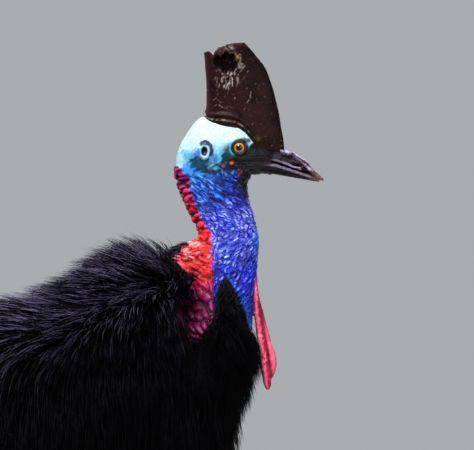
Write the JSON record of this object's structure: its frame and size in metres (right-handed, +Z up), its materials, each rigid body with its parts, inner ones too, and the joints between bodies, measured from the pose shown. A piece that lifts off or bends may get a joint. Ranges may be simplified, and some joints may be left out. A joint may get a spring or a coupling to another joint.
{
  "type": "cassowary",
  "caption": "Life-size cassowary standing still, tall casque, bare wattled neck, long hair-like plumage, scaled legs and clawed toes.",
  "frame": {"origin": "on the floor under the middle of the bird's bounding box", "axes": "+X the way the bird faces, +Y to its left side, +Z up"},
  "size_m": [1.0498, 0.4576, 1.4192],
  "materials": {
    "casque_horn": "worn brown horn",
    "bill_horn": "polished black horn",
    "head_skin": "bare pale blue skin",
    "neck_skin": "bare wrinkled blue skin",
    "nape_skin": "bare folded red skin",
    "wattle_skin": "granular crimson skin",
    "eye_gloss": "glassy orange eye",
    "plumage": "black hair-like plumage",
    "quill_horn": "bare black quills",
    "leg_scale": "grey-brown scales",
    "claw_horn": "dark horn"
  },
  "bodies": {
    "root": {"head": "head_skin", "upper_bill": "bill_horn", "lower_bill": "bill_horn", "casque": "casque_horn", "eye_right": "eye_gloss", "eye_left": "eye_gloss", "neck_upper": "neck_skin", "neck_lower": "nape_skin", "wattle_right": "wattle_skin", "wattle_left": "wattle_skin", "torso": "plumage", "thigh_right": "plumage", "thigh_left": "plumage", "wing_right": "quill_horn", "wing_left": "quill_horn", "tarsus_right": "leg_scale", "tarsus_left": "leg_scale", "toe_middle_right": "leg_scale", "toe_outer_right": "leg_scale", "toe_inner_right": "leg_scale", "toe_middle_left": "leg_scale", "toe_outer_left": "leg_scale", "toe_inner_left": "leg_scale", "claw_middle_right": "claw_horn", "claw_outer_right": "claw_horn", "claw_inner_right": "claw_horn", "claw_middle_left": "claw_horn", "claw_outer_left": "claw_horn", "claw_inner_left": "claw_horn"}
  },
  "joints": []
}
